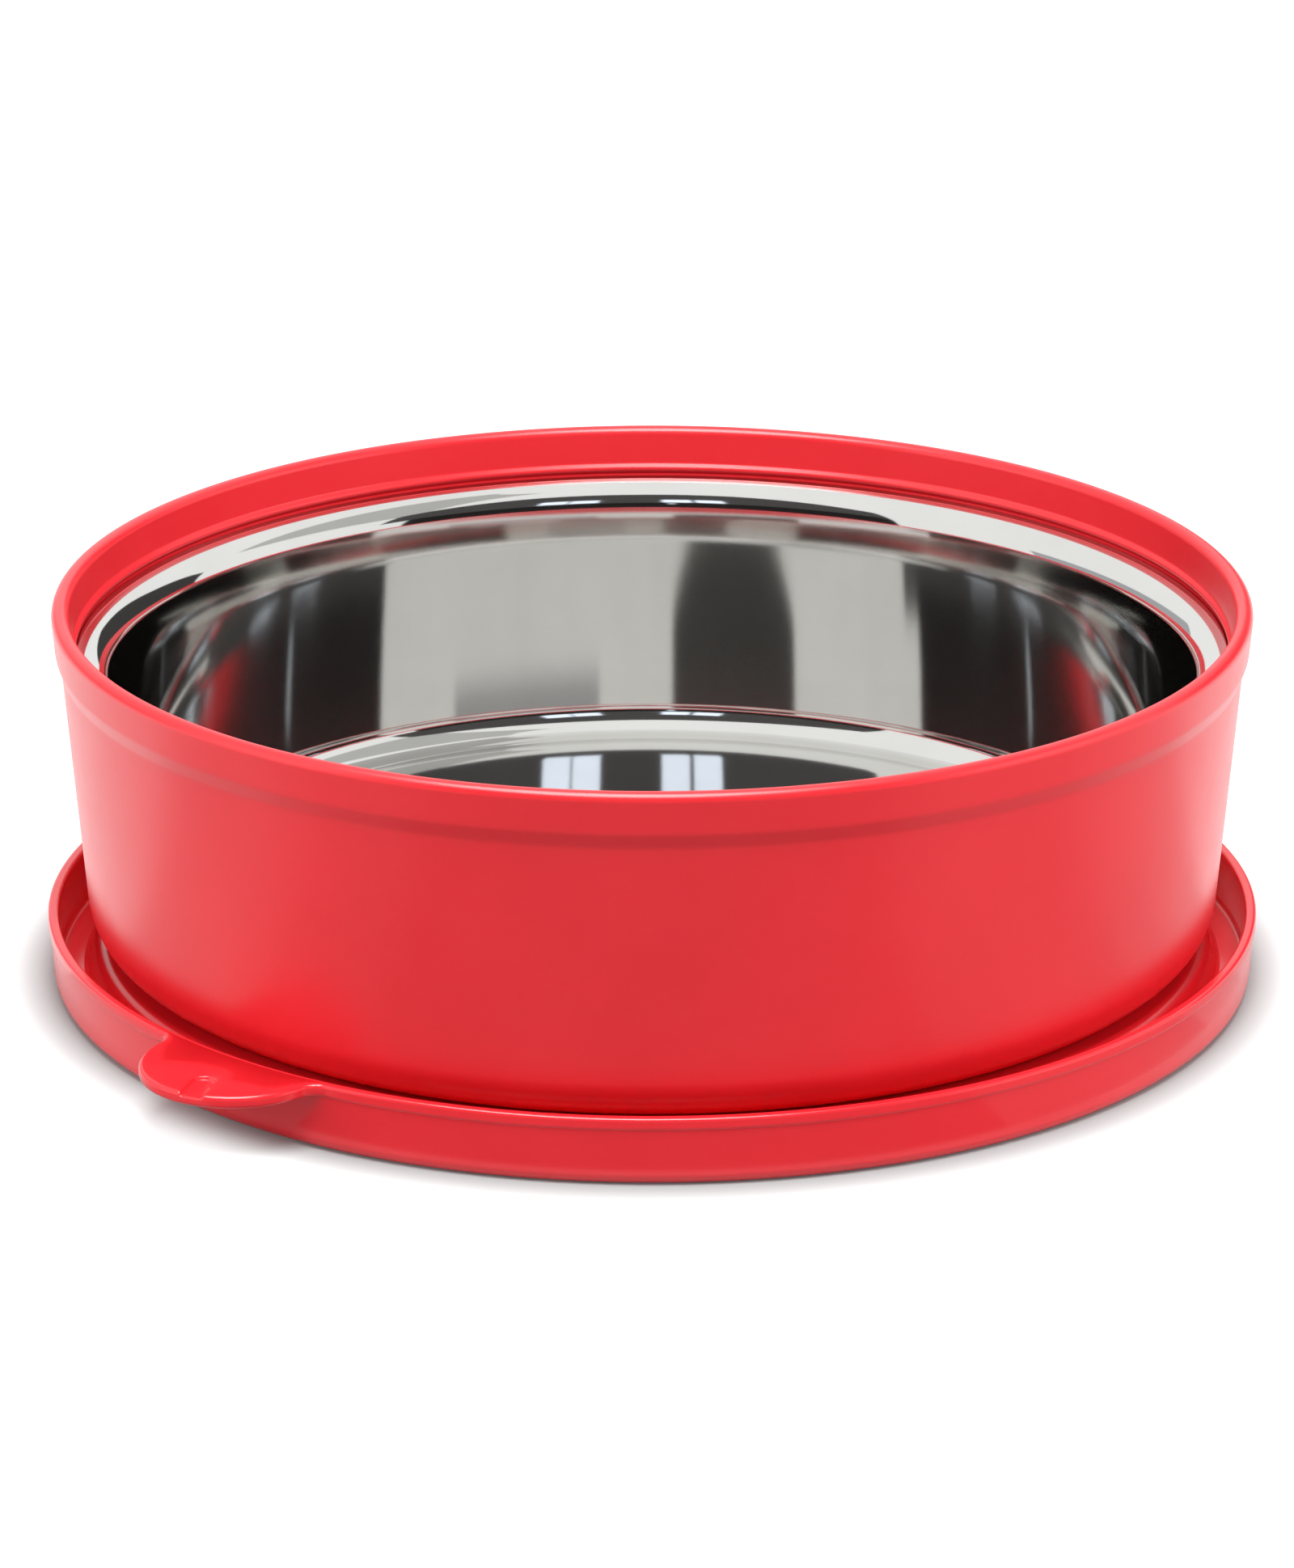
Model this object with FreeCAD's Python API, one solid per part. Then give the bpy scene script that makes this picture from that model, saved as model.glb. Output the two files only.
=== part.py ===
"""Round lunch box: a moulded outer shell with a drawn steel liner, standing in its upturned snap lid.

Millimetres, +Z up. The origin is on the axis of the box, on the surface that the upturned lid rests on.
The finger tab of the lid points to the front left (-X, -Y).
"""
import FreeCAD, Part
import math
import os

# Outer shell
RIM_RADIUS = 95.0            # outside of the rim, the widest part of the bowl
BOWL_HEIGHT = 54.8           # foot to top of rim
WALL_DRAFT = 5.0             # degrees, the same inside and outside
RIM_WALL = 2.8               # thickness of the rim, closed by a full round
RIM_BAND_HEIGHT = 8.0        # plain band that the lid grips
RIM_BAND_STEP = 0.7          # how far the band stands proud of the wall below it
BAND_STEP_HEIGHT = 0.6       # height of the sloping step under the band
SHELL_FLOOR = 2.0
SHELL_CORNER = 8.0           # outside radius between wall and foot
FOOT_RADIUS = 64.0           # inside of the flat foot ring
FOOT_RECESS = 0.6            # hollow under the floor, inside the foot ring
RETAINER_HEIGHT = 1.8        # bead inside the rim that holds the liner down
RETAINER_PROUD = 0.6
RETAINER_GAP = 0.2           # foot of the bead to the flange

# Steel liner
LINER_SHEET = 0.6
LINER_DRAFT = 3.0            # degrees, from the foot of the wall to its top
LINER_DROP = 8.0             # top of rim down to the liner's flange
FLANGE_GAP = 0.3             # flange edge to the shell, all round
FLANGE_WIDTH = 5.2           # flange edge in to the line of the lip
LIP_RADIUS = 4.8             # round from flange into lip
LIP_DRAFT = 10.0             # degrees, between the two rounds of the lip
LIP_HEIGHT = 7.4             # flange down to the top of the wall's line
LIP_BEND = 40.0              # wide round from lip into wall
LINER_BOW = 0.6              # how far the wall's line stands out at half its height
LINER_BOW_ROUND = 390.0      # round that makes one gentle curve of that line
LINER_CORNER = 5.6           # round from wall into floor
LINER_FLOOR_GAP = 0.6        # air under the liner's floor

# Seal under the flange and the ribs that carry it
SEAL_HEIGHT = 1.2
SEAL_GAP = 0.2               # seal to shell wall
RIB_COUNT = 24
RIB_WIDTH = 1.6
RIB_HEIGHT = 26.0
RIB_LEDGE = 1.6              # how far a rib reaches in past the seal
RIB_ROOT = 0.8               # how far a rib runs into the shell wall

# Lid, lying with its skirt up
LID_HEIGHT = 11.2
LID_FLOOR = 1.8              # under the groove that takes the rim
LID_WALL = 1.1
LID_DRAFT = 4.0              # degrees, outside of the skirt
LID_CORNER = 2.2
RIM_GAP = 0.25               # skirt to rim, when the lid is on
SKIRT_BEAD = 0.3             # outside bead along the open edge of the skirt
SKIRT_BEAD_HEIGHT = 1.9
SNAP_PROUD = 0.4             # inside bead that catches under the rim band
SNAP_HEIGHT = 1.4
GROOVE_ROUND = 0.8
PANEL_RISE = 5.0             # centre panel above the groove floor
PANEL_THICKNESS = 2.0
PANEL_ROUND = 2.2
PLUG_GAP = 1.6               # side of the panel to the inside of the rim
PLUG_DRAFT = 18.0            # degrees, side of the panel

# Finger tab on the lid, a half disc with a notch in its outer edge
TAB_DIRECTION = 229.3        # degrees from +X
TAB_RADIUS = 14.7            # about a point on the open edge of the skirt
TAB_THICKNESS = 2.0          # the top is level with the open edge of the skirt
TAB_ROOT = 3.0               # hollow round from the skirt into the tab's edge
TAB_EDGE = 0.7
NOTCH_WIDTH = 4.4
NOTCH_DEPTH = 7.2
NOTCH_ROUND = 1.3

LIMIT = 0.96                 # largest share of an edge that the roundings at its ends may take

# Heights that several pieces share
SEAT_Z = LID_FLOOR + PANEL_RISE
RIM_Z = SEAT_Z + BOWL_HEIGHT
BAND_Z = RIM_Z - RIM_BAND_HEIGHT
SHELL_FLOOR_Z = SEAT_Z + FOOT_RECESS + SHELL_FLOOR
FLANGE_Z = RIM_Z - LINER_DROP
SEAL_TOP_Z = FLANGE_Z - LINER_SHEET
RIB_Z = SEAL_TOP_Z - SEAL_HEIGHT
LIP_Z = FLANGE_Z - LIP_HEIGHT
LINER_FLOOR_Z = SHELL_FLOOR_Z + LINER_FLOOR_GAP + LINER_SHEET
SLOPE = math.tan(math.radians(WALL_DRAFT))
LINER_SLOPE = math.tan(math.radians(LINER_DRAFT))
LIP_SLOPE = math.tan(math.radians(LIP_DRAFT))


def band_radius(z):
    """Outside of the rim band, carried on down at the wall's draft."""
    return RIM_RADIUS - (RIM_Z - z) * SLOPE


def shell_radius(z):
    """Outside of the shell below the band."""
    return band_radius(z) - RIM_BAND_STEP


def shell_bore(z):
    """Inside of the shell, one straight draft from rim to floor."""
    return band_radius(z) - RIM_WALL


FLANGE_EDGE = shell_bore(SEAL_TOP_Z) - FLANGE_GAP
LIP_TOP = FLANGE_EDGE - FLANGE_WIDTH
LIP_FOOT = LIP_TOP - LIP_HEIGHT * LIP_SLOPE
LINER_FOOT = LIP_FOOT - (LIP_Z - LINER_FLOOR_Z) * LINER_SLOPE
SEAL_BORE = LIP_TOP + LIP_RADIUS * math.tan(math.radians(90 - LIP_DRAFT) / 2)


def vector(point):
    return FreeCAD.Vector(point[0], 0, point[1])


def rounded_wire(corners):
    """Closed wire in the XZ plane through (radius, height, rounding) corners.

    Each rounding is a tangent arc. Two that would run into each other on an edge are made smaller.
    """
    places = [vector(corner) for corner in corners]
    sides = [places[(i + 1) % len(places)] - place for i, place in enumerate(places)]
    halves = [math.pi / 2 - sides[i - 1].getAngle(side) / 2 for i, side in enumerate(sides)]
    reaches = [corner[2] / math.tan(half) for corner, half in zip(corners, halves)]
    shares = [1.0] * len(places)
    for i, side in enumerate(sides):
        following = (i + 1) % len(sides)
        wanted = reaches[i] + reaches[following]
        if wanted > LIMIT * side.Length:
            share = LIMIT * side.Length / wanted
            shares[i] = min(shares[i], share)
            shares[following] = min(shares[following], share)
    spans = []
    for i, place in enumerate(places):
        reach = reaches[i] * shares[i]
        if reach < 1e-6:
            spans.append((place, None, place))
            continue
        radius = reach * math.tan(halves[i])
        before = FreeCAD.Vector(sides[i - 1]).normalize()
        after = FreeCAD.Vector(sides[i]).normalize()
        middle = place + (after - before).normalize() * (radius / math.sin(halves[i]) - radius)
        spans.append((place - before * reach, middle, place + after * reach))
    edges = []
    for i, (start, middle, end) in enumerate(spans):
        if middle is not None:
            edges.append(Part.Arc(start, middle, end).toShape())
        following = spans[(i + 1) % len(spans)][0]
        edges.append(Part.LineSegment(end, following).toShape())
    return Part.Wire(edges)


def turned(corners):
    """Solid of revolution about Z."""
    face = Part.Face(rounded_wire(corners))
    return face.revolve(FreeCAD.Vector(), FreeCAD.Vector(0, 0, 1), 360)


def make_outer_shell():
    retainer_foot = FLANGE_Z + RETAINER_GAP
    retainer_mid = retainer_foot + RETAINER_HEIGHT / 2
    retainer_top = retainer_foot + RETAINER_HEIGHT
    shell = turned([
        (0, SEAT_Z + FOOT_RECESS, 0),
        (FOOT_RADIUS - FOOT_RECESS, SEAT_Z + FOOT_RECESS, 0),
        (FOOT_RADIUS, SEAT_Z, 0),
        (shell_radius(SEAT_Z), SEAT_Z, SHELL_CORNER),
        (shell_radius(BAND_Z), BAND_Z, 0),
        (band_radius(BAND_Z + BAND_STEP_HEIGHT), BAND_Z + BAND_STEP_HEIGHT, 0),
        (RIM_RADIUS, RIM_Z, RIM_WALL / 2),
        (RIM_RADIUS - RIM_WALL, RIM_Z, RIM_WALL / 2),
        (shell_bore(retainer_top), retainer_top, 0),
        (shell_bore(retainer_mid) - RETAINER_PROUD, retainer_mid, RETAINER_PROUD),
        (shell_bore(retainer_foot), retainer_foot, 0),
        (shell_bore(SHELL_FLOOR_Z), SHELL_FLOOR_Z, SHELL_CORNER - RIM_WALL + RIM_BAND_STEP),
        (0, SHELL_FLOOR_Z, 0),
    ])
    foot_z = RIB_Z - RIB_HEIGHT
    rib_bore = SEAL_BORE - RIB_LEDGE
    outline = Part.makePolygon([vector(p) for p in (
        (rib_bore, RIB_Z),
        (shell_bore(RIB_Z) + RIB_ROOT, RIB_Z),
        (shell_bore(foot_z) + RIB_ROOT, foot_z),
        (shell_bore(foot_z) - RIB_ROOT, foot_z),
        (rib_bore, RIB_Z),
    )])
    rib = Part.Face(outline).extrude(FreeCAD.Vector(0, RIB_WIDTH, 0))
    rib.translate(FreeCAD.Vector(0, -RIB_WIDTH / 2, 0))
    ribs = []
    for i in range(RIB_COUNT):
        copy = rib.copy()
        copy.rotate(FreeCAD.Vector(), FreeCAD.Vector(0, 0, 1), 360 * (i + 0.5) / RIB_COUNT)
        ribs.append(copy)
    return shell.fuse(ribs).removeSplitter()


def sheet_behind(front):
    """Corners a sheet's thickness behind a line of corners that runs outwards from the axis."""
    places = [vector(corner) for corner in front]
    sides = [(b - a).normalize() for a, b in zip(places, places[1:])]
    sides = [sides[0], *sides, sides[-1]]
    back = []
    for place, corner, before, after in zip(places, front, sides, sides[1:]):
        middle = before + after
        turn = before.z * after.x - before.x * after.z
        offset = FreeCAD.Vector(middle.z, 0, -middle.x) * (LINER_SHEET / (1 + before.dot(after)))
        rounding = corner[2] - math.copysign(LINER_SHEET, turn) if corner[2] else 0
        back.append((place.x + offset.x, place.z + offset.z, rounding))
    return back


def make_steel_liner():
    """One drawn sheet: floor, slightly bowed wall, lip and flange."""
    front = [
        (0, LINER_FLOOR_Z, 0),
        (LINER_FOOT, LINER_FLOOR_Z, LINER_CORNER),
        ((LINER_FOOT + LIP_FOOT) / 2 + LINER_BOW, (LINER_FLOOR_Z + LIP_Z) / 2, LINER_BOW_ROUND),
        (LIP_FOOT, LIP_Z, LIP_BEND),
        (LIP_TOP, FLANGE_Z, LIP_RADIUS),
        (FLANGE_EDGE, FLANGE_Z, 0),
    ]
    return turned(front + sheet_behind(front)[::-1])


def make_liner_seal():
    """Flat ring on the ribs, pressed by the flat of the liner's flange."""
    outside = shell_bore(RIB_Z) - SEAL_GAP
    return turned([
        (SEAL_BORE, RIB_Z, 0),
        (outside, RIB_Z, 0),
        (outside, SEAL_TOP_Z, 0),
        (SEAL_BORE, SEAL_TOP_Z, 0),
    ])


SKIRT_BORE = RIM_RADIUS + RIM_GAP
SKIRT_RADIUS = SKIRT_BORE + LID_WALL
EDGE_RADIUS = SKIRT_RADIUS + SKIRT_BEAD


def tab_outline():
    """Half of the tab's edge, from the skirt to the notch, as points along and across its direction."""
    middle = FreeCAD.Vector(EDGE_RADIUS, 0, 0)
    root_reach = EDGE_RADIUS + TAB_ROOT
    root_x = (root_reach ** 2 + EDGE_RADIUS ** 2 - (TAB_RADIUS + TAB_ROOT) ** 2) / (2 * EDGE_RADIUS)
    root = FreeCAD.Vector(root_x, math.sqrt(root_reach ** 2 - root_x ** 2), 0)
    outward = FreeCAD.Vector(root).normalize()
    skirt_inside = outward * (EDGE_RADIUS - SKIRT_BEAD - LID_WALL / 2)
    skirt = outward * EDGE_RADIUS
    side = middle + (root - middle).normalize() * TAB_RADIUS
    bend = root + ((skirt + side) / 2 - root).normalize() * TAB_ROOT
    corner_y = NOTCH_WIDTH / 2 + NOTCH_ROUND
    corner_x = math.sqrt((TAB_RADIUS - NOTCH_ROUND) ** 2 - corner_y ** 2)
    corner = middle + FreeCAD.Vector(corner_x, corner_y, 0)
    tip = middle + (corner - middle).normalize() * TAB_RADIUS
    brow = middle + ((side + tip) / 2 - middle).normalize() * TAB_RADIUS
    mouth = FreeCAD.Vector(corner.x, NOTCH_WIDTH / 2, 0)
    turn = corner + ((tip + mouth) / 2 - corner).normalize() * NOTCH_ROUND
    notch_end = FreeCAD.Vector(middle.x + TAB_RADIUS - NOTCH_DEPTH + NOTCH_WIDTH / 2, NOTCH_WIDTH / 2, 0)
    return [
        ("line", skirt_inside, skirt),
        ("arc", skirt, bend, side),
        ("arc", side, brow, tip),
        ("arc", tip, turn, mouth),
        ("line", mouth, notch_end),
    ]


def make_tab():
    """Flat tab with two lobes, its edges rounded, lying along +X until it is turned into place."""
    half = tab_outline()
    edges = []
    for sign in (1, -1):
        for kind, *points in half:
            points = [FreeCAD.Vector(p.x, sign * p.y, 0) for p in points]
            curve = Part.LineSegment(*points) if kind == "line" else Part.Arc(*points)
            edges.append(curve.toShape())
    notch_end = half[-1][2]
    notch_mid = FreeCAD.Vector(notch_end.x - NOTCH_WIDTH / 2, 0, 0)
    edges.append(Part.Arc(notch_end, notch_mid, FreeCAD.Vector(notch_end.x, -notch_end.y, 0)).toShape())
    inner = half[0][1]
    inner_mid = FreeCAD.Vector(inner.Length, 0, 0)
    edges.append(Part.Arc(inner, inner_mid, FreeCAD.Vector(inner.x, -inner.y, 0)).toShape())
    wire = Part.Wire(Part.__sortEdges__(edges))
    tab = Part.Face(wire).extrude(FreeCAD.Vector(0, 0, TAB_THICKNESS))
    round_edges = []
    for edge in tab.Edges:
        level = edge.BoundBox.ZLength < TAB_THICKNESS / 2
        outside = edge.CenterOfMass.Length > EDGE_RADIUS - SKIRT_BEAD
        if level and outside:
            round_edges.append(edge)
    tab = tab.makeFillet(min(TAB_EDGE, LIMIT / 2 * TAB_THICKNESS), round_edges)
    tab.translate(FreeCAD.Vector(0, 0, LID_HEIGHT - TAB_THICKNESS))
    tab.rotate(FreeCAD.Vector(), FreeCAD.Vector(0, 0, 1), TAB_DIRECTION)
    return tab


def make_lid():
    """Skirt, groove for the rim and raised centre panel in one turned section, with the tab."""
    plug_slope = math.tan(math.radians(PLUG_DRAFT))
    plug_base = RIM_RADIUS - RIM_WALL - PLUG_GAP
    plug_top = plug_base - PANEL_RISE * plug_slope
    recess_z = SEAT_Z - PANEL_THICKNESS
    recess_top = plug_top - PANEL_THICKNESS
    recess_foot = recess_top + recess_z * plug_slope
    bead_z = LID_HEIGHT - SKIRT_BEAD_HEIGHT
    skirt_foot = SKIRT_RADIUS - bead_z * math.tan(math.radians(LID_DRAFT))
    groove_bore = SKIRT_BORE - SNAP_PROUD / 2
    snap_z = LID_HEIGHT - SNAP_HEIGHT
    lid = turned([
        (0, recess_z, 0),
        (recess_top, recess_z, PANEL_ROUND / 2),
        (recess_foot, 0, 0),
        (skirt_foot, 0, LID_CORNER),
        (SKIRT_RADIUS, bead_z, 0),
        (EDGE_RADIUS, bead_z + SKIRT_BEAD, 0),
        (EDGE_RADIUS, LID_HEIGHT, LID_WALL / 2),
        (SKIRT_BORE - SNAP_PROUD / 2, LID_HEIGHT, LID_WALL / 2),
        (SKIRT_BORE - SNAP_PROUD, snap_z + SNAP_HEIGHT / 2, 0),
        (SKIRT_BORE, snap_z, 0),
        (groove_bore, LID_FLOOR, GROOVE_ROUND),
        (plug_base, LID_FLOOR, GROOVE_ROUND),
        (plug_top, SEAT_Z, PANEL_ROUND),
        (0, SEAT_Z, 0),
    ])
    return lid.fuse(make_tab()).removeSplitter()


os.makedirs("parts", exist_ok=True)
for name, make in (
    ("outer_shell", make_outer_shell),
    ("steel_liner", make_steel_liner),
    ("liner_seal", make_liner_seal),
    ("lid", make_lid),
):
    shape = make()
    shape.exportStep(f"parts/{name}.step")
    print(name, shape.isValid(), len(shape.Solids), round(shape.Volume), len(shape.Faces))
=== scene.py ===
"""Round lunch box: a red moulded bowl with a polished steel liner, standing in its upturned lid."""
import math

import bmesh
import bpy
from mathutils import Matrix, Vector
from mathutils.geometry import delaunay_2d_cdt


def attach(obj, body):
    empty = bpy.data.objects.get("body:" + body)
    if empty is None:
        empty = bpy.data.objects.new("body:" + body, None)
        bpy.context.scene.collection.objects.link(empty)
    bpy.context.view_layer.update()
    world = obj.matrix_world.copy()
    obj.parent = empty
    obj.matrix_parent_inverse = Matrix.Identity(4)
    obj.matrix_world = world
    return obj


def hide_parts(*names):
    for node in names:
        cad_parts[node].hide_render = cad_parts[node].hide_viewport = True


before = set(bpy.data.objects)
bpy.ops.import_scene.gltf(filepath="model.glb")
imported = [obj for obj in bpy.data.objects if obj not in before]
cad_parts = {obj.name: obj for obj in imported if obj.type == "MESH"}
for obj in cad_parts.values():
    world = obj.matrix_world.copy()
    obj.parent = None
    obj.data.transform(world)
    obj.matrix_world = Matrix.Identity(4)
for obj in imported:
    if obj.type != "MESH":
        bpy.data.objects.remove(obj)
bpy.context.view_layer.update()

MM = 0.001
AXIS_RADIUS = 1e-6           # a profile point nearer the axis than this is a single vertex
SEGMENTS = 384               # round the axis
ARC_STEP = math.radians(4)   # along a rounded corner
LIMIT = 0.96                 # largest share of an edge that the roundings at its ends may take

# Sizes in millimetres, the same as in the part's source
RIM_RADIUS = 95.0
BOWL_HEIGHT = 54.8
WALL_DRAFT = math.radians(5.0)
RIM_WALL = 2.8
RIM_BAND_HEIGHT = 8.0
RIM_BAND_STEP = 0.7
BAND_STEP_HEIGHT = 0.6
SHELL_FLOOR = 2.0
SHELL_CORNER = 8.0
FOOT_RADIUS = 64.0
FOOT_RECESS = 0.6
RETAINER_HEIGHT = 1.8
RETAINER_PROUD = 0.6
RETAINER_GAP = 0.2
LINER_SHEET = 0.6
LINER_DRAFT = math.radians(3.0)
LINER_DROP = 8.0
FLANGE_GAP = 0.3
FLANGE_WIDTH = 5.2
LIP_RADIUS = 4.8
LIP_DRAFT = math.radians(10.0)
LIP_HEIGHT = 7.4
LIP_BEND = 40.0
LINER_BOW = 0.6
LINER_BOW_ROUND = 390.0
LINER_CORNER = 5.6
LINER_FLOOR_GAP = 0.6
SEAL_HEIGHT = 1.2
RIB_COUNT = 24
RIB_WIDTH = 1.6
RIB_HEIGHT = 26.0
RIB_LEDGE = 1.6
RIB_ROOT = 0.8
LID_HEIGHT = 11.2
LID_FLOOR = 1.8
LID_WALL = 1.1
LID_DRAFT = math.radians(4.0)
LID_CORNER = 2.2
RIM_GAP = 0.25
SKIRT_BEAD = 0.3
SKIRT_BEAD_HEIGHT = 1.9
SNAP_PROUD = 0.4
SNAP_HEIGHT = 1.4
GROOVE_ROUND = 0.8
PANEL_RISE = 5.0
PANEL_THICKNESS = 2.0
PANEL_ROUND = 2.2
PLUG_GAP = 1.6
PLUG_DRAFT = math.radians(18.0)
TAB_DIRECTION = math.radians(229.3)
TAB_RADIUS = 14.7
TAB_THICKNESS = 2.0
TAB_ROOT = 3.0
TAB_EDGE = 0.7

# Small forms that only the looks need
EDGE = 0.3
BAND_SOFT = 0.9              # spreads the step under the rim band upwards and downwards
BAND_ROUND = 3.0
SHEET_EDGE = 0.25
TAB_LIFT = 0.02              # keeps the tab's top clear of the level edge that it joins
RECESS_WIDTH = 3.7           # thumb recess in the tab's top, open at the tab's edge
RECESS_DEPTH = 0.55
RECESS_REACH = 9.0           # from the skirt to the centre of its round end
RECESS_SHIFT = 1.9           # sideways from the tab's middle line
RECESS_TURN = math.radians(23.3)
RECESS_WALL = 0.4            # width of the slope round the recess

# How finely the tab is divided
ROOT_STEPS = 18              # along each hollow round at its root
SIDE_STEPS = 110             # along each half of its round edge
EDGE_STEPS = 8               # over each rounding of its edge
INNER_STEPS = 24             # along the end that is buried in the skirt
RECESS_END_STEPS = 24        # round the recess's closed end
RECESS_SIDE_STEPS = 40       # along each of its sides
RECESS_SIDE_STEP = 0.2
RECESS_LEVELS = 2            # lines on each side of the middle of the recess's slope
RECESS_CLEAR = 0.1           # least distance of these lines from the tab's rounded edge
CDT_INSIDE = 1               # delaunay_2d_cdt's setting for triangles inside the outline only
CDT_SMALLEST = 1e-5

SEAT_Z = LID_FLOOR + PANEL_RISE
RIM_Z = SEAT_Z + BOWL_HEIGHT
BAND_Z = RIM_Z - RIM_BAND_HEIGHT
SHELL_FLOOR_Z = SEAT_Z + FOOT_RECESS + SHELL_FLOOR
FLANGE_Z = RIM_Z - LINER_DROP
SEAL_TOP_Z = FLANGE_Z - LINER_SHEET
RIB_Z = SEAL_TOP_Z - SEAL_HEIGHT
LIP_Z = FLANGE_Z - LIP_HEIGHT
LINER_FLOOR_Z = SHELL_FLOOR_Z + LINER_FLOOR_GAP + LINER_SHEET
SKIRT_BORE = RIM_RADIUS + RIM_GAP
SKIRT_RADIUS = SKIRT_BORE + LID_WALL
EDGE_RADIUS = SKIRT_RADIUS + SKIRT_BEAD


def band_radius(z):
    return RIM_RADIUS - (RIM_Z - z) * math.tan(WALL_DRAFT)


def shell_radius(z):
    return band_radius(z) - RIM_BAND_STEP


def shell_bore(z):
    return band_radius(z) - RIM_WALL


FLANGE_EDGE = shell_bore(SEAL_TOP_Z) - FLANGE_GAP
LIP_TOP = FLANGE_EDGE - FLANGE_WIDTH
LIP_FOOT = LIP_TOP - LIP_HEIGHT * math.tan(LIP_DRAFT)
LINER_FOOT = LIP_FOOT - (LIP_Z - LINER_FLOOR_Z) * math.tan(LINER_DRAFT)
SEAL_BORE = LIP_TOP + LIP_RADIUS * math.tan((math.pi / 2 - LIP_DRAFT) / 2)


def new_object(name, data):
    obj = bpy.data.objects.new(name, data)
    bpy.context.scene.collection.objects.link(obj)
    return obj


def rounded_profile(corners):
    """Points and outward normals along a profile of (radius, height, rounding) corners.

    The profile starts and ends on the axis, with the solid on its left.
    """
    flat = [Vector((r, z)) for r, z, rounding in corners]
    sides = [end - start for start, end in zip(flat, flat[1:])]
    normals = [Vector((side.y, -side.x)).normalized() for side in sides]
    turns = [first.angle_signed(last) for first, last in zip(normals, normals[1:])]
    turns = [0.0, *turns, 0.0]
    reaches = [corner[2] * math.tan(abs(turn) / 2) for corner, turn in zip(corners, turns)]
    shares = [1.0] * len(flat)
    for i, side in enumerate(sides):
        wanted = reaches[i] + reaches[i + 1]
        if wanted > LIMIT * side.length:
            share = LIMIT * side.length / wanted
            shares[i] = min(shares[i], share)
            shares[i + 1] = min(shares[i + 1], share)
    points = [(flat[0], normals[0])]
    for i in range(1, len(flat) - 1):
        turn, first = turns[i], normals[i - 1]
        radius = corners[i][2] * shares[i]
        start = flat[i] - sides[i - 1].normalized() * reaches[i] * shares[i]
        outside = 1 if turn < 0 else -1
        centre = start - first * radius * outside
        steps = max(3, math.ceil(abs(turn) / ARC_STEP))
        for k in range(steps + 1):
            angle = turn * k / steps
            cos, sin = math.cos(angle), math.sin(angle)
            facing = Vector((first.x * cos + first.y * sin, -first.x * sin + first.y * cos))
            points.append((centre + facing * radius * outside, facing))
    points.append((flat[-1], normals[-1]))
    return points


def turned(name, corners):
    """Mesh of revolution about Z with the profile's own normals."""
    verts, normals, rings = [], [], []
    for point, facing in rounded_profile(corners):
        ring = []
        count = 1 if point.x < AXIS_RADIUS else SEGMENTS
        for k in range(count):
            angle = 2 * math.pi * k / SEGMENTS
            cos, sin = math.cos(angle), math.sin(angle)
            ring.append(len(verts))
            verts.append((point.x * cos * MM, point.x * sin * MM, point.y * MM))
            outward = facing.x if count > 1 else 0
            normals.append((outward * cos, outward * sin, facing.y))
        rings.append(ring)
    faces = []
    for lower, upper in zip(rings, rings[1:]):
        for k in range(SEGMENTS):
            n = (k + 1) % SEGMENTS
            if len(lower) == 1:
                faces.append((lower[0], upper[n], upper[k]))
            elif len(upper) == 1:
                faces.append((lower[k], lower[n], upper[0]))
            else:
                faces.append((lower[k], lower[n], upper[n], upper[k]))
    mesh = bpy.data.meshes.new(name)
    mesh.from_pydata(verts, [], faces)
    mesh.shade_smooth()
    mesh.normals_split_custom_set_from_vertices(normals)
    mesh.update()
    return new_object(name, mesh)


def make_shell():
    retainer_foot = FLANGE_Z + RETAINER_GAP
    retainer_mid = retainer_foot + RETAINER_HEIGHT / 2
    retainer_top = retainer_foot + RETAINER_HEIGHT
    band_foot = BAND_Z - BAND_SOFT
    band_top = BAND_Z + BAND_STEP_HEIGHT + BAND_SOFT
    return turned("shell_body", [
        (0, SEAT_Z + FOOT_RECESS, 0),
        (FOOT_RADIUS - FOOT_RECESS, SEAT_Z + FOOT_RECESS, EDGE),
        (FOOT_RADIUS, SEAT_Z, EDGE),
        (shell_radius(SEAT_Z), SEAT_Z, SHELL_CORNER),
        (shell_radius(band_foot), band_foot, BAND_ROUND),
        (band_radius(band_top), band_top, BAND_ROUND),
        (RIM_RADIUS, RIM_Z, RIM_WALL / 2),
        (RIM_RADIUS - RIM_WALL, RIM_Z, RIM_WALL / 2),
        (shell_bore(retainer_top), retainer_top, 2 * EDGE),
        (shell_bore(retainer_mid) - RETAINER_PROUD, retainer_mid, RETAINER_PROUD),
        (shell_bore(retainer_foot), retainer_foot, EDGE),
        (shell_bore(SHELL_FLOOR_Z), SHELL_FLOOR_Z, SHELL_CORNER - RIM_WALL + RIM_BAND_STEP),
        (0, SHELL_FLOOR_Z, 0),
    ])


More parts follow.
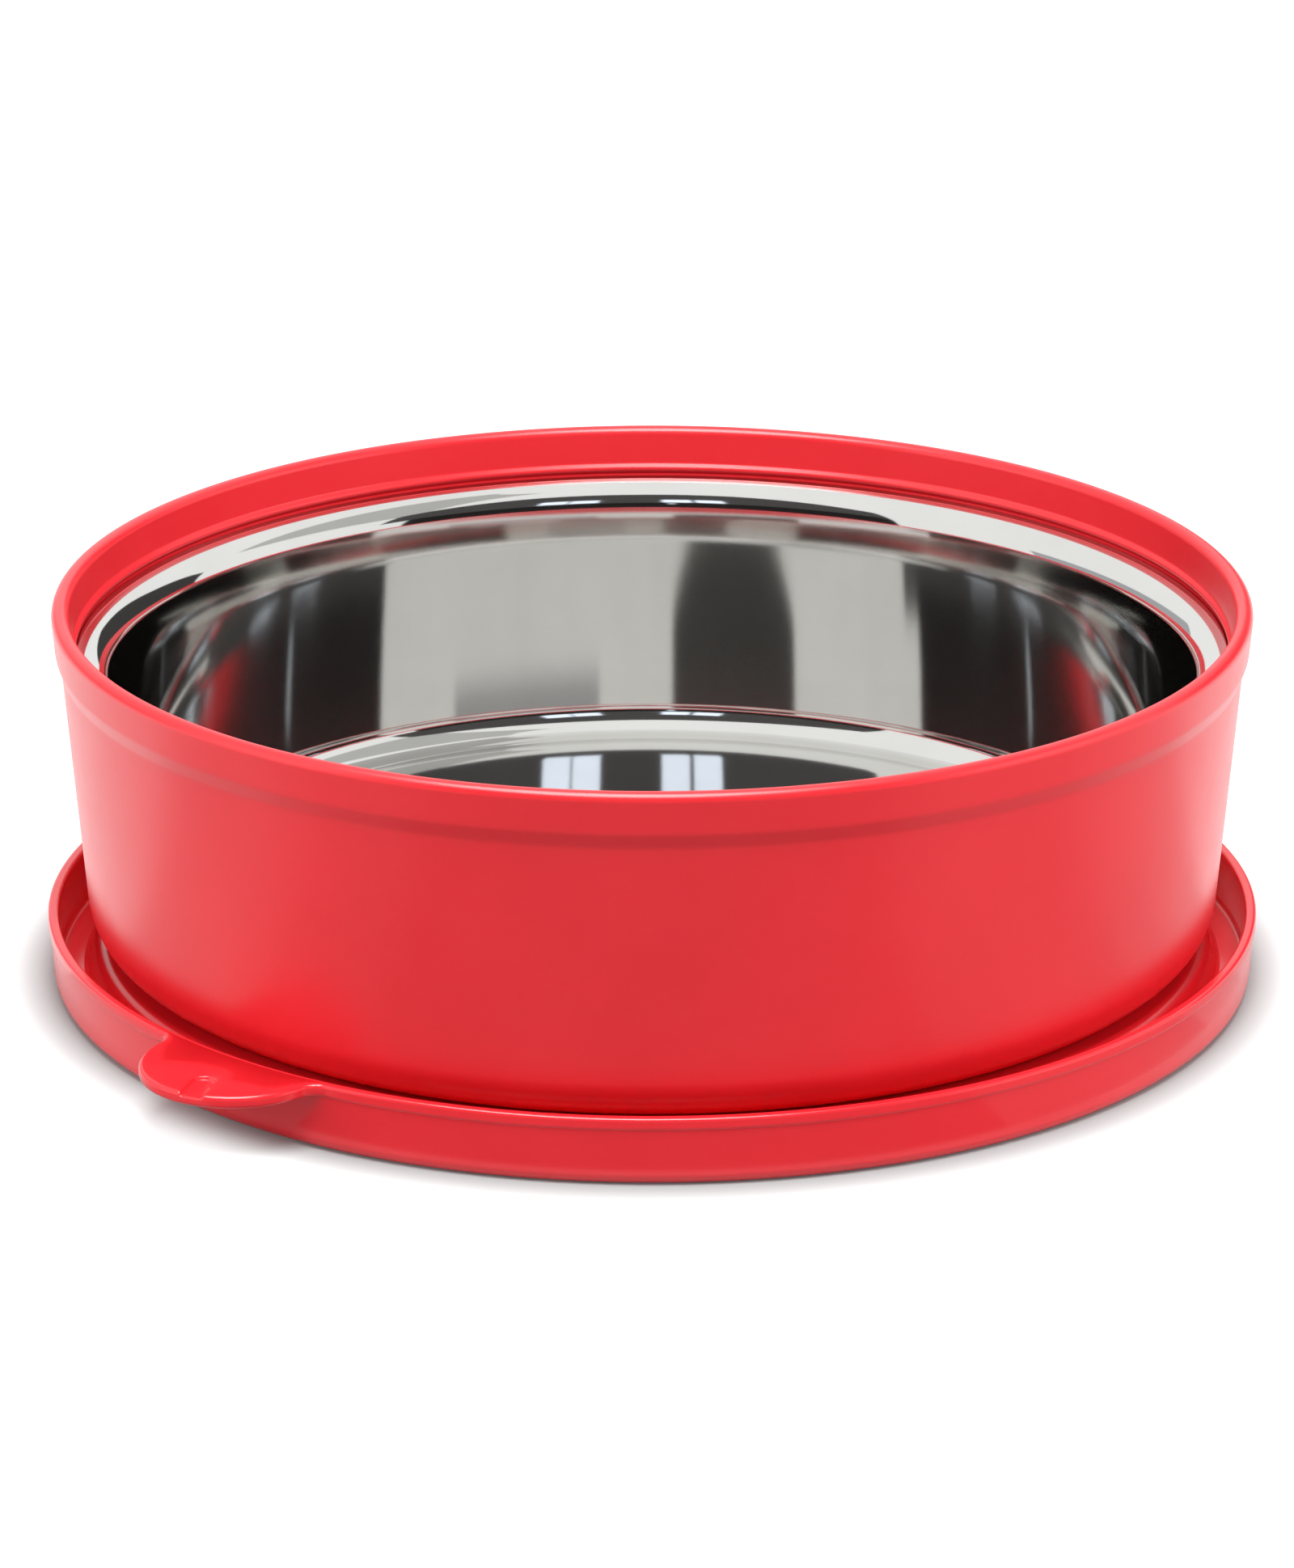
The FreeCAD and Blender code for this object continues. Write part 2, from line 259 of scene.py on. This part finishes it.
def make_ribs():
    """Upright webs inside the shell that carry the seal, each rooted in the wall."""
    foot_z = RIB_Z - RIB_HEIGHT
    side = [
        (SEAL_BORE - RIB_LEDGE, RIB_Z),
        (shell_bore(foot_z) - RIB_ROOT, foot_z),
        (shell_bore(foot_z) + RIB_ROOT, foot_z),
        (shell_bore(RIB_Z) + RIB_ROOT, RIB_Z),
    ]
    verts, faces = [], []
    for i in range(RIB_COUNT):
        angle = 2 * math.pi * (i + 0.5) / RIB_COUNT
        cos, sin = math.cos(angle), math.sin(angle)
        near = len(verts)
        far = near + len(side)
        for across in (-RIB_WIDTH / 2, RIB_WIDTH / 2):
            for r, z in side:
                x, y = r * cos - across * sin, r * sin + across * cos
                verts.append((x * MM, y * MM, z * MM))
        faces.append(tuple(near + k for k in range(len(side))))
        faces.append(tuple(far + k for k in reversed(range(len(side)))))
        for k in range(len(side)):
            n = (k + 1) % len(side)
            faces.append((near + n, near + k, far + k, far + n))
    mesh = bpy.data.meshes.new("shell_ribs")
    mesh.from_pydata(verts, [], faces)
    mesh.update()
    return new_object("shell_ribs", mesh)


def sheet_behind(front):
    """Corners a sheet's thickness behind a line of corners that runs outwards from the axis."""
    flat = [Vector((r, z)) for r, z, rounding in front]
    sides = [(end - start).normalized() for start, end in zip(flat, flat[1:])]
    sides = [sides[0], *sides, sides[-1]]
    back = []
    for place, corner, before, after in zip(flat, front, sides, sides[1:]):
        middle = before + after
        turn = before.y * after.x - before.x * after.y
        behind = Vector((middle.y, -middle.x)) / (1 + before.dot(after))
        there = place + behind * LINER_SHEET
        rounding = corner[2] - LINER_SHEET * ((turn > 0) - (turn < 0))
        back.append((there.x, there.y, rounding))
    return back


def make_liner():
    bow_radius = (LINER_FOOT + LIP_FOOT) / 2 + LINER_BOW
    front = [
        (0, LINER_FLOOR_Z, 0),
        (LINER_FOOT, LINER_FLOOR_Z, LINER_CORNER),
        (bow_radius, (LINER_FLOOR_Z + LIP_Z) / 2, LINER_BOW_ROUND),
        (LIP_FOOT, LIP_Z, LIP_BEND),
        (LIP_TOP, FLANGE_Z, LIP_RADIUS),
        (FLANGE_EDGE, FLANGE_Z, SHEET_EDGE),
    ]
    return turned("liner_bowl", sheet_behind(front) + front[::-1])


def make_lid():
    plug_base = RIM_RADIUS - RIM_WALL - PLUG_GAP
    plug_top = plug_base - PANEL_RISE * math.tan(PLUG_DRAFT)
    recess_z = SEAT_Z - PANEL_THICKNESS
    recess_top = plug_top - PANEL_THICKNESS
    recess_foot = recess_top + recess_z * math.tan(PLUG_DRAFT)
    bead_z = LID_HEIGHT - SKIRT_BEAD_HEIGHT
    skirt_foot = SKIRT_RADIUS - bead_z * math.tan(LID_DRAFT)
    snap_z = LID_HEIGHT - SNAP_HEIGHT
    return turned("lid_body", [
        (0, recess_z, 0),
        (recess_top, recess_z, PANEL_ROUND / 2),
        (recess_foot, 0, EDGE),
        (skirt_foot, 0, LID_CORNER),
        (SKIRT_RADIUS, bead_z, EDGE),
        (EDGE_RADIUS, bead_z + SKIRT_BEAD, EDGE),
        (EDGE_RADIUS, LID_HEIGHT, LID_WALL / 2),
        (SKIRT_BORE - SNAP_PROUD / 2, LID_HEIGHT, LID_WALL / 2),
        (SKIRT_BORE - SNAP_PROUD, snap_z + SNAP_HEIGHT / 2, EDGE),
        (SKIRT_BORE, snap_z, EDGE),
        (SKIRT_BORE - SNAP_PROUD / 2, LID_FLOOR, GROOVE_ROUND),
        (plug_base, LID_FLOOR, GROOVE_ROUND),
        (plug_top, SEAT_Z, PANEL_ROUND),
        (0, SEAT_Z, 0),
    ])


def arc(centre, start, end, steps):
    """Points on the shorter arc from start to end, without the last one.

    Each comes with the way to the centre.
    """
    first, last = start - centre, end - centre
    turn = -first.angle_signed(last)
    points = []
    for k in range(steps):
        angle = turn * k / steps
        cos, sin = math.cos(angle), math.sin(angle)
        spoke = Vector((first.x * cos - first.y * sin, first.x * sin + first.y * cos))
        points.append((centre + spoke, -spoke.normalized()))
    return points


def tab_outline():
    """The tab's edge from the skirt round to the skirt, with outward normals.

    Both are measured along and across the tab's direction.
    """
    middle = Vector((EDGE_RADIUS, 0))
    root_reach = EDGE_RADIUS + TAB_ROOT
    root_x = (root_reach ** 2 + EDGE_RADIUS ** 2 - (TAB_RADIUS + TAB_ROOT) ** 2) / (2 * EDGE_RADIUS)
    root = Vector((root_x, math.sqrt(root_reach ** 2 - root_x ** 2)))
    skirt = root.normalized() * EDGE_RADIUS
    side = middle + (root - middle).normalized() * TAB_RADIUS
    tip = middle + Vector((TAB_RADIUS, 0))
    half = arc(root, skirt, side, ROOT_STEPS)
    half += [(p, -n) for p, n in arc(middle, side, tip, SIDE_STEPS)]
    mirrored = [(Vector((p.x, -p.y)), Vector((n.x, -n.y))) for p, n in reversed(half)]
    return half + [(tip, Vector((1, 0)))] + mirrored


RECESS_START = Vector((EDGE_RADIUS + RECESS_REACH, RECESS_SHIFT))
RECESS_WAY = Vector((math.cos(RECESS_TURN), math.sin(RECESS_TURN)))


def recess_drop(point):
    """How far the recess lowers the tab's top at a point."""
    offset = point - RECESS_START
    off_line = (offset - RECESS_WAY * max(0.0, offset.dot(RECESS_WAY))).length
    inside = min(1.0, max(0.0, (RECESS_WIDTH / 2 - off_line) / RECESS_WALL + 0.5))
    return RECESS_DEPTH * inside * inside * (3 - 2 * inside)


def recess_points():
    """Points on the tab's flat top along the foot, middle and head of the recess's wall."""
    side = Vector((-RECESS_WAY.y, RECESS_WAY.x))
    middle = Vector((EDGE_RADIUS, 0))
    points = []
    for level in range(-RECESS_LEVELS, RECESS_LEVELS + 1):
        reach = RECESS_WIDTH / 2 + level * RECESS_WALL / (2 * RECESS_LEVELS)
        for k in range(RECESS_END_STEPS + 1):
            turn = math.pi * (k / RECESS_END_STEPS - 0.5)
            points.append(RECESS_START - RECESS_WAY * reach * math.cos(turn)
                          + side * reach * math.sin(turn))
        for k in range(1, RECESS_SIDE_STEPS):
            along = RECESS_START + RECESS_WAY * RECESS_SIDE_STEP * k
            points += [along + side * reach, along - side * reach]
    flat_radius = TAB_RADIUS - TAB_EDGE - RECESS_CLEAR
    return [p for p in points if (p - middle).length < flat_radius]


def make_tab():
    """Half-round tab with rounded edges and a thumb recess.

    Its inner end is buried in the skirt's wall.
    """
    outline = tab_outline()
    top, bottom = LID_HEIGHT + TAB_LIFT, LID_HEIGHT - TAB_THICKNESS
    middle_z = (top + bottom) / 2
    inner = EDGE_RADIUS - SKIRT_BEAD - LID_WALL / 2
    section = []
    for k in range(EDGE_STEPS + 1):
        angle = math.pi / 2 * (1 - k / EDGE_STEPS)
        inset = TAB_EDGE * (1 - math.cos(angle))
        section.append((inset, top - TAB_EDGE * (1 - math.sin(angle))))
    for k in range(EDGE_STEPS + 1):
        angle = -math.pi / 2 * k / EDGE_STEPS
        inset = TAB_EDGE * (1 - math.cos(angle))
        section.append((inset, bottom + TAB_EDGE * (1 + math.sin(angle))))
    cos, sin = math.cos(TAB_DIRECTION), math.sin(TAB_DIRECTION)
    verts, flat = [], []

    def add(point, z):
        flat.append(point)
        x, y = point.x * cos - point.y * sin, point.x * sin + point.y * cos
        verts.append((x * MM, y * MM, z * MM))
        return len(verts) - 1

    for inset, z in section:
        share = max(0.0, (z - middle_z) / (top - middle_z))
        for point, facing in outline:
            place = point - facing * inset
            add(place, z - share * recess_drop(place))
    count, rows = len(outline), len(section)
    span = math.atan2(outline[0][0].y, outline[0][0].x)
    turns = [span * (2 * k / INNER_STEPS - 1) for k in range(INNER_STEPS + 1)]
    end = [Vector((math.cos(turn), math.sin(turn))) * inner for turn in turns]
    over = [add(point, top) for point in end]
    under = [add(point, bottom) for point in end]
    wall = [add(point, top - recess_drop(point)) for point in recess_points()]
    faces = []
    for r in range(rows - 1):
        for k in range(count - 1):
            a, b = r * count + k, r * count + k + 1
            faces.append((a, b, b + count, a + count))
    for k in range(INNER_STEPS):
        faces.append((over[k], over[k + 1], under[k + 1], under[k]))
    near = [r * count for r in range(rows)]
    far = [r * count + count - 1 for r in range(rows)]
    faces.append(tuple(near + [under[-1], over[-1]]))
    faces.append(tuple(list(reversed(far)) + [over[0], under[0]]))
    faces.append(tuple(list(range((rows - 1) * count, rows * count)) + under))
    edge = list(range(count)) + over
    used = edge + wall
    border = list(reversed(range(len(edge))))
    found = delaunay_2d_cdt([flat[k] for k in used], [], [border], CDT_INSIDE, CDT_SMALLEST)
    triangles, sources = found[2], found[3]
    for triangle in triangles:
        faces.append(tuple(used[sources[k][0]] for k in triangle))
    mesh = bpy.data.meshes.new("lid_tab")
    mesh.from_pydata(verts, [], faces)
    bm = bmesh.new()
    bm.from_mesh(mesh)
    caps = [f for f in bm.faces if len(f.verts) > 4]
    bmesh.ops.triangulate(bm, faces=caps, quad_method="BEAUTY", ngon_method="BEAUTY")
    bmesh.ops.recalc_face_normals(bm, faces=bm.faces)
    bm.to_mesh(mesh)
    bm.free()
    mesh.shade_smooth()
    mesh.update()
    return new_object("lid_tab", mesh)


class Nodes:
    """Short ways to add and join nodes in one node tree.

    A value given to math or vector is a number or another node's output.
    """

    def __init__(self, tree):
        self.tree = tree

    def add(self, kind, **settings):
        node = self.tree.nodes.new(kind)
        for key, value in settings.items():
            setattr(node, key, value)
        return node

    def join(self, source, target):
        self.tree.links.new(source, target)

    def feed(self, node, values):
        for socket, value in zip(node.inputs, values):
            if isinstance(value, (int, float)):
                socket.default_value = value
            else:
                self.join(value, socket)
        return node.outputs[0]

    def math(self, operation, *values):
        return self.feed(self.add("ShaderNodeMath", operation=operation), values)

    def vector(self, x, y, z):
        return self.feed(self.add("ShaderNodeCombineXYZ"), (x, y, z))

    def ramp(self, source, stops):
        node = self.add("ShaderNodeValToRGB")
        elements = node.color_ramp.elements
        while len(elements) < len(stops):
            elements.new(0.5)
        for element, (position, colour) in zip(elements, stops):
            element.position = position
            element.color = (*colour, 1)
        self.join(source, node.inputs["Fac"])
        return node.outputs["Color"]

    def span(self, source, low, high):
        """source, from 0 to 1, carried onto low to high."""
        node = self.add("ShaderNodeMapRange")
        node.inputs["To Min"].default_value = low
        node.inputs["To Max"].default_value = high
        self.join(source, node.inputs["Value"])
        return node.outputs["Result"]

    def noise(self, place, scale, detail=3.0, roughness=0.5):
        node = self.add("ShaderNodeTexNoise")
        node.inputs["Scale"].default_value = scale
        node.inputs["Detail"].default_value = detail
        node.inputs["Roughness"].default_value = roughness
        self.join(place, node.inputs["Vector"])
        return node.outputs["Fac"]

    def bump(self, height, strength, distance):
        node = self.add("ShaderNodeBump")
        node.inputs["Strength"].default_value = strength
        node.inputs["Distance"].default_value = distance
        self.join(height, node.inputs["Height"])
        return node.outputs["Normal"]

    def seen(self):
        """1 for rays from the camera, gloss or glass, and 0 for others."""
        path = self.add("ShaderNodeLightPath").outputs
        gloss = self.math("MAXIMUM", path["Is Camera Ray"], path["Is Glossy Ray"])
        return self.math("MAXIMUM", gloss, path["Is Transmission Ray"])

    def unscattered(self):
        """1 for rays that no matt surface has scattered, and 0 for others.

        Panels and lamps that should only mirror would otherwise add specks.
        """
        path = self.add("ShaderNodeLightPath").outputs
        return self.math("LESS_THAN", path["Diffuse Depth"], 0.5)


def new_material(name):
    mat = bpy.data.materials.new(name)
    mat.use_nodes = True
    nodes = Nodes(mat.node_tree)
    shader = mat.node_tree.nodes["Principled BSDF"]
    place = nodes.add("ShaderNodeTexCoord").outputs["Object"]
    return mat, nodes, shader, place


PLASTIC_IOR = 1.58


def red_plastic(name, dark, light, rough_low, rough_high, grain):
    """Moulded plastic: slight clouding of the pigment, a fine grain and uneven gloss."""
    mat, nodes, shader, place = new_material(name)
    cloud = nodes.noise(place, scale=45.0, detail=4.0)
    nodes.join(nodes.ramp(cloud, [(0.3, dark), (0.7, light)]), shader.inputs["Base Color"])
    gloss = nodes.noise(place, scale=160.0, detail=5.0, roughness=0.6)
    nodes.join(nodes.span(gloss, rough_low, rough_high), shader.inputs["Roughness"])
    fine = nodes.noise(place, scale=2600.0, detail=2.0)
    nodes.join(nodes.bump(fine, grain, distance=0.02 * MM), shader.inputs["Normal"])
    shader.inputs["IOR"].default_value = PLASTIC_IOR
    return mat


STEEL_DARK = (0.735, 0.733, 0.71)
STEEL_LIGHT = (0.795, 0.793, 0.775)
RING_LEAN = 1.7              # keeps the polishing rings apart on the wall as well as on the floor
RING_STRETCH = 0.002         # makes them run far round the axis
LINE_SHARE = 0.35            # of the rings in the tint, the rest being broad patches


def polished_steel(name):
    """Drawn stainless sheet, polished round the axis: fine rings on the wall and the floor."""
    mat, nodes, shader, place = new_material(name)
    parts = nodes.add("ShaderNodeSeparateXYZ")
    nodes.join(place, parts.inputs[0])
    x, y, z = parts.outputs
    squares = nodes.math("MULTIPLY", x, x), nodes.math("MULTIPLY", y, y)
    radius = nodes.math("SQRT", nodes.math("ADD", *squares))
    angle = nodes.math("ARCTAN2", y, x)
    across = nodes.math("ADD", radius, nodes.math("MULTIPLY", z, RING_LEAN))
    rings = nodes.vector(nodes.math("MULTIPLY", angle, RING_STRETCH), across, 0.0)
    line = nodes.noise(rings, scale=9000.0, detail=3.0, roughness=0.6)
    patch = nodes.noise(place, scale=60.0, detail=3.0)
    shares = nodes.math("MULTIPLY", line, LINE_SHARE), nodes.math("MULTIPLY", patch, 1 - LINE_SHARE)
    tint = nodes.math("ADD", *shares)
    nodes.join(nodes.ramp(tint, [(0.3, STEEL_DARK), (0.7, STEEL_LIGHT)]),
               shader.inputs["Base Color"])
    nodes.join(nodes.span(line, 0.05, 0.085), shader.inputs["Roughness"])
    nodes.join(nodes.bump(line, strength=0.05, distance=0.01 * MM), shader.inputs["Normal"])
    round_axis = nodes.add("ShaderNodeTangent", direction_type="RADIAL", axis="Z")
    nodes.join(round_axis.outputs[0], shader.inputs["Tangent"])
    shader.inputs["Anisotropic"].default_value = 0.75
    shader.inputs["Anisotropic Rotation"].default_value = 0.25
    shader.inputs["Metallic"].default_value = 1.0
    return mat


def silicone(name):
    mat, nodes, shader, place = new_material(name)
    cloud = nodes.noise(place, scale=120.0, detail=4.0)
    nodes.join(nodes.ramp(cloud, [(0.3, (0.36, 0.36, 0.35)), (0.7, (0.45, 0.45, 0.44))]),
               shader.inputs["Base Color"])
    nodes.join(nodes.span(cloud, 0.5, 0.65), shader.inputs["Roughness"])
    return mat


def place_piece(obj, body, mat, node):
    obj.data.materials.clear()
    obj.data.materials.append(mat)
    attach(obj, body)
    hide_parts(node)


SHELL_RED = red_plastic("shell_red", (0.78, 0.016, 0.025), (0.82, 0.019, 0.029),
                        rough_low=0.26, rough_high=0.34, grain=0.25)
LID_RED = red_plastic("lid_red", (0.80, 0.018, 0.028), (0.84, 0.021, 0.032),
                      rough_low=0.17, rough_high=0.23, grain=0.12)
STEEL = polished_steel("liner_steel")
SILICONE = silicone("seal_silicone")

shell, lid, tab = make_shell(), make_lid(), make_tab()
plastics = [shell, lid, tab]
place_piece(shell, "bowl", SHELL_RED, "outer_shell")
place_piece(make_ribs(), "bowl", SHELL_RED, "outer_shell")
place_piece(make_liner(), "bowl", STEEL, "steel_liner")
place_piece(lid, "lid", LID_RED, "lid")
place_piece(tab, "lid", LID_RED, "lid")
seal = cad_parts["liner_seal"]
seal.data.materials.clear()
seal.data.materials.append(SILICONE)


# Studio: floor, white surroundings, and panels that only mirror in the object
FLOOR_HALF = 4.0
FLOOR_COLOUR = (0.37, 0.405, 0.405, 1)
PAINTED_SHADOW_START = 0.0945        # metres from the axis, where the painted shadow round the lid is deepest
PAINTED_SHADOW_END = 0.107           # where the painted shadow ends and the floor is white again
FLOOR_LOW = 0.05             # the floor's own light at these two, dimmed near the lid as painted shadow
FLOOR_HIGH = 0.88
WORLD_LIGHT = 0.22           # of the white that the camera and the gloss see
PANEL_ACROSS = 48            # faces along a panel
PANEL_UP = 24
TABLE_NEAR = 0.10
TABLE_FAR = 2.0


def bare_material(name):
    """Material without a shader, its nodes and its output socket."""
    mat = bpy.data.materials.new(name)
    mat.use_nodes = True
    tree = mat.node_tree
    tree.nodes.remove(tree.nodes["Principled BSDF"])
    return mat, Nodes(tree), tree.nodes["Material Output"].inputs["Surface"]


def glow(name, colour):
    """Plain light for a panel."""
    mat, nodes, surface = bare_material(name)
    light = nodes.add("ShaderNodeEmission")
    light.inputs["Color"].default_value = (*colour, 1)
    nodes.join(nodes.unscattered(), light.inputs["Strength"])
    nodes.join(light.outputs[0], surface)
    return mat


def panel(name, verts, faces, mat):
    """Part of the studio that shows in the object's gloss and casts no light or shadow."""
    mesh = bpy.data.meshes.new(name)
    mesh.from_pydata(verts, [], faces)
    mesh.materials.append(mat)
    obj = new_object(name, mesh)
    obj.visible_camera = False
    obj.visible_diffuse = False
    obj.visible_shadow = False
    obj.visible_transmission = False
    obj.visible_volume_scatter = False


def screen(name, distance, left, right, low, high, mat, dome=0.0):
    """Curved panel round the object, in degrees from the camera's side and above the floor.

    dome lowers its top towards both ends.
    """
    verts, faces = [], []
    for i in range(PANEL_ACROSS + 1):
        part = i / PANEL_ACROSS
        azimuth = math.radians(left + (right - left) * part)
        top = low + (high - low) * (1 - dome * abs(2 * part - 1) ** 3)
        for j in range(PANEL_UP + 1):
            rise = math.radians(low + (top - low) * j / PANEL_UP)
            verts.append((distance * math.sin(azimuth) * math.cos(rise),
                          -distance * math.cos(azimuth) * math.cos(rise),
                          distance * math.sin(rise)))
    for i in range(PANEL_ACROSS):
        for j in range(PANEL_UP):
            a, b = i * (PANEL_UP + 1) + j, (i + 1) * (PANEL_UP + 1) + j
            faces.append((a, b, b + 1, a + 1))
    panel(name, verts, faces, mat)


def floor_panel(name, left, right, height, mat):
    """Part of a flat ring just above the floor, in degrees from the camera's side."""
    verts, faces = [], []
    for i in range(PANEL_ACROSS + 1):
        azimuth = math.radians(left + (right - left) * i / PANEL_ACROSS)
        for reach in (TABLE_NEAR, TABLE_FAR):
            verts.append((reach * math.sin(azimuth), -reach * math.cos(azimuth), height))
    for i in range(PANEL_ACROSS):
        faces.append((2 * i, 2 * i + 1, 2 * i + 3, 2 * i + 2))
    panel(name, verts, faces, mat)


dark_room = glow("dark_room", (0.080, 0.077, 0.077))
dark_low = glow("dark_low", (0.020, 0.018, 0.018))
dark_back = glow("dark_back", (0.055, 0.053, 0.052))
window = glow("window", (1.22, 1.34, 1.56))
sliver = glow("sliver", (0.65, 0.72, 0.80))
right_grey = glow("right_grey", (0.55, 0.55, 0.54))
low_grey = glow("low_grey", (0.44, 0.45, 0.47))
screen("screen_front", 2.2, -56, 64, 22, 58, dark_room, dome=0.55)
screen("screen_front_low", 2.1, -56, 57, 5, 24, dark_low)
screen("screen_back", 2.2, 117, 171, 5, 27, dark_back, dome=0.3)
WINDOW_WIDTH = 6.8
for edge in (-17.0, -9.2, 12.5, 19.8):
    screen(f"window_{edge:.0f}", 2.0, edge, edge + WINDOW_WIDTH, 26, 37, window)
screen("window_sliver", 2.0, -5.2, -3.6, 18, 23, sliver)
screen("screen_right", 2.3, 58, 116, 36, 75, right_grey)
screen("screen_left_low", 2.3, -157, -92, 5, 16.8, low_grey)

# The table grows paler in steps towards its ends, the darkest panel lying uppermost
for name, left, right, height, colour in (
    ("table_front", -36, 36, 0.0003, (0.20, 0.19, 0.19)),
    ("table_sides", -54, 70, 0.0002, (0.48, 0.47, 0.47)),
    ("table_far", -60, 84, 0.00015, (0.70, 0.70, 0.70)),
    ("table_end", -84, 98, 0.0001, (0.86, 0.86, 0.86)),
):
    floor_panel(name, left, right, height, glow(name, colour))


def floor_material():
    """Matt paper with a light of its own that the camera and the gloss see.

    That light fades towards the lid's foot: a painted shadow laid over the shadow that the lamps
    cast there.
    """
    mat, nodes, surface = bare_material("floor_white")
    paper = nodes.add("ShaderNodeBsdfDiffuse")
    paper.inputs["Color"].default_value = FLOOR_COLOUR
    away = nodes.add("ShaderNodeVectorMath", operation="LENGTH")
    nodes.join(nodes.add("ShaderNodeTexCoord").outputs["Object"], away.inputs[0])
    # painted shadow: the floor's own light dims towards the lid's foot
    painted_shadow_fade = nodes.add("ShaderNodeMapRange", interpolation_type="SMOOTHSTEP")
    painted_shadow_fade.inputs["From Min"].default_value = PAINTED_SHADOW_START
    painted_shadow_fade.inputs["From Max"].default_value = PAINTED_SHADOW_END
    painted_shadow_fade.inputs["To Min"].default_value = FLOOR_LOW
    painted_shadow_fade.inputs["To Max"].default_value = FLOOR_HIGH
    nodes.join(away.outputs["Value"], painted_shadow_fade.inputs["Value"])
    light = nodes.add("ShaderNodeEmission")
    nodes.join(nodes.math("MULTIPLY", nodes.seen(), painted_shadow_fade.outputs["Result"]),
               light.inputs["Strength"])
    both = nodes.add("ShaderNodeAddShader")
    nodes.join(paper.outputs[0], both.inputs[0])
    nodes.join(light.outputs[0], both.inputs[1])
    nodes.join(both.outputs[0], surface)
    return mat


floor_mesh = bpy.data.meshes.new("floor")
floor_corners = [(x * FLOOR_HALF, y * FLOOR_HALF, 0)
                 for x, y in ((-1, -1), (1, -1), (1, 1), (-1, 1))]
floor_mesh.from_pydata(floor_corners, [], [(0, 1, 2, 3)])
floor = new_object("floor", floor_mesh)
floor.data.materials.append(floor_material())

world = bpy.data.worlds.new("studio")
bpy.context.scene.world = world
world.use_nodes = True
world_nodes = Nodes(world.node_tree)
background = world.node_tree.nodes["Background"]
background.inputs["Color"].default_value = (1, 1, 1, 1)
world_nodes.join(world_nodes.span(world_nodes.seen(), WORLD_LIGHT, 1.0),
                 background.inputs["Strength"])

LAMP_AIM = Vector((0, 0, 0.03))


def area_lamp(name, location, size, power):
    """Round soft lamp that lights the object and doesn't mirror in it."""
    data = bpy.data.lights.new(name, "AREA")
    data.shape = "DISK"
    data.size = size
    data.energy = power
    lamp = new_object(name, data)
    lamp.location = location
    lamp.rotation_euler = (LAMP_AIM - lamp.location).to_track_quat("-Z", "Y").to_euler()
    lamp.visible_glossy = False
    return lamp


def highlight(lamp, pieces):
    """Makes a lamp show only as a highlight on some pieces, seen directly or in a mirror."""
    lamp.visible_glossy = True
    lamp.visible_diffuse = False
    lamp.data.use_nodes = True
    tree = lamp.data.node_tree
    nodes = Nodes(tree)
    nodes.join(nodes.unscattered(), tree.nodes["Emission"].inputs["Strength"])
    lit = bpy.data.collections.new(lamp.name)
    for piece in pieces:
        lit.objects.link(piece)
    lamp.light_linking.receiver_collection = lit


area_lamp("front", (0.05, -0.65, 1.49), size=0.9, power=26.0)
area_lamp("left", (-1.36, -0.38, 0.5), size=1.3, power=13.5)
area_lamp("right", (1.36, -0.38, 0.5), size=1.3, power=14.5)
area_lamp("back", (0.3, 1.3, 0.7), size=1.3, power=11.0)
highlight(area_lamp("softbox", (-0.15, -0.35, 1.6), size=1.2, power=38.0), plastics)

CAMERA_DISTANCE = 1.2
CAMERA_TILT = math.radians(19.368)
CAMERA_TARGET = Vector((-0.000818, 0.0, 0.029937))
CAMERA_LENS = 172.62
CAMERA_SENSOR = 36.0
CAMERA_REACH = 10
camera_data = bpy.data.cameras.new("camera")
camera_data.sensor_fit = "VERTICAL"
camera_data.sensor_height = CAMERA_SENSOR
camera_data.lens = CAMERA_LENS
camera_data.clip_end = CAMERA_REACH
camera = new_object("camera", camera_data)
camera_way = Vector((0, -math.cos(CAMERA_TILT), math.sin(CAMERA_TILT)))
camera.location = CAMERA_TARGET + camera_way * CAMERA_DISTANCE
camera.rotation_euler = (math.pi / 2 - CAMERA_TILT, 0, 0)
bpy.context.scene.camera = camera
bpy.context.scene.view_settings.view_transform = "Standard"
